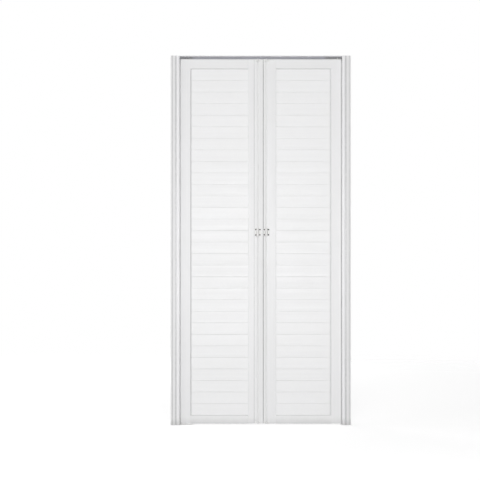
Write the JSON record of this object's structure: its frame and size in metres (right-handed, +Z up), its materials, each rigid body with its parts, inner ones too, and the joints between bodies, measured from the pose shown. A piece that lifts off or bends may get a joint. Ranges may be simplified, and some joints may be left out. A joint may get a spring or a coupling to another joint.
{
  "type": "bifold closet door",
  "caption": "White bifold closet door: slatted leaves joined by hinged strips, turning on corner pivots and led by a guide in an overhead track, in its own jamb frame.",
  "frame": {"origin": "on the floor, in the middle of the closet opening in width and in depth", "axes": "+Z up, +X to the right seen from the hinge face, +Y away from the hinge face: the way the leaves fold"},
  "size_m": [0.99, 0.0744, 2.03],
  "materials": {
    "white_pvc": "extruded white PVC, low sheen",
    "white_nylon": "moulded white nylon",
    "grey_seal": "soft pale grey PVC",
    "white_steel": "white powder coat",
    "dark_steel": "dark coated steel sheet",
    "grey_aluminium": "satin grey",
    "bright_steel": "zinc plated",
    "black_rivet": "black, slightly glossy"
  },
  "bodies": {
    "frame": {"left_wall_channel": "white_pvc", "right_wall_channel": "white_pvc", "left_jamb_cover": "white_pvc", "right_jamb_cover": "white_pvc", "left_stop_fin": "grey_seal", "right_stop_fin": "grey_seal", "head_strip": "white_pvc", "track": "grey_aluminium", "top_pivot_bracket": "dark_steel", "top_bracket_screw": "bright_steel", "guide_catch": "dark_steel", "bottom_pivot_bracket": "white_steel", "bottom_bracket_screws": "bright_steel", "bottom_pivot_pin": "bright_steel"},
    "pivot_leaf": {"pivot_leaf_outer_stile": "white_pvc", "pivot_leaf_inner_stile": "white_pvc", "pivot_leaf_top_rail": "white_pvc", "pivot_leaf_bottom_rail": "white_pvc", "pivot_leaf_slats": "white_pvc", "pivot_leaf_corner_blocks": "white_nylon", "pivot_leaf_outer_plugs": "white_nylon", "pivot_leaf_knuckle_caps": "white_nylon", "top_pivot_bushing": "white_nylon", "bottom_pivot_bushing": "white_nylon", "pivot_leaf_hinge_plate": "white_steel", "pivot_leaf_rivets": "black_rivet", "top_pivot_spring": "bright_steel"},
    "hinge_strips": {"left_hinge_strip": "white_pvc", "right_hinge_strip": "white_pvc", "left_lip_seal": "grey_seal", "right_lip_seal": "grey_seal", "strip_caps": "white_nylon", "left_strip_hinge_plate": "white_steel", "right_strip_hinge_plate": "white_steel", "strip_rivets": "black_rivet", "left_hinge_pins": "bright_steel", "right_hinge_pins": "bright_steel"},
    "lead_leaf": {"lead_leaf_outer_stile": "white_pvc", "lead_leaf_inner_stile": "white_pvc", "lead_leaf_top_rail": "white_pvc", "lead_leaf_bottom_rail": "white_pvc", "lead_leaf_slats": "white_pvc", "lead_leaf_corner_blocks": "white_nylon", "lead_leaf_outer_plugs": "white_nylon", "lead_leaf_knuckle_caps": "white_nylon", "guide_bushing": "white_nylon", "lead_leaf_hinge_plate": "white_steel", "lead_leaf_rivets": "black_rivet", "guide_spring": "bright_steel"},
    "top_pivot_pin": {"top_pivot_pin": "bright_steel"},
    "guide_pin": {"guide_pin": "bright_steel"},
    "guide_wheel": {"guide_wheel": "white_nylon"}
  },
  "joints": [
    {"name": "leaf_fold", "type": "hinge", "parent": "frame", "child": "pivot_leaf", "pos_m": [-0.408, 0, 1], "axis": [0, 0, 1], "range_deg": [0, 88]},
    {"name": "strip_hinge", "type": "hinge", "parent": "pivot_leaf", "child": "hinge_strips", "pos_m": [-0.0165, -0.017, 1.06], "axis": [0, 0, -1], "range_deg": [0, 88]},
    {"name": "lead_leaf_hinge", "type": "hinge", "parent": "hinge_strips", "child": "lead_leaf", "pos_m": [0.0305, -0.017, 1.06], "axis": [0, 0, -1], "range_deg": [0, 88]},
    {"name": "top_pin_travel", "type": "slide", "parent": "pivot_leaf", "child": "top_pivot_pin", "axis": [0, 0, -1], "range_m": [0, 0.012], "stiffness_N_per_m": 400, "springref_m": -0.02, "deforming": ["top_pivot_spring"]},
    {"name": "guide_pin_travel", "type": "slide", "parent": "lead_leaf", "child": "guide_pin", "axis": [0, 0, -1], "range_m": [0, 0.0022], "stiffness_N_per_m": 400, "springref_m": -0.01, "deforming": ["guide_spring"]},
    {"name": "guide_wheel_spin", "type": "hinge", "parent": "guide_pin", "child": "guide_wheel", "pos_m": [0.422, 0, 2.018], "axis": [0, 0, 1], "continuous": true}
  ],
  "couplings": [
    {"joint": "strip_hinge", "follows": "leaf_fold", "ratio": 1},
    {"joint": "lead_leaf_hinge", "follows": "leaf_fold", "ratio": 1}
  ]
}
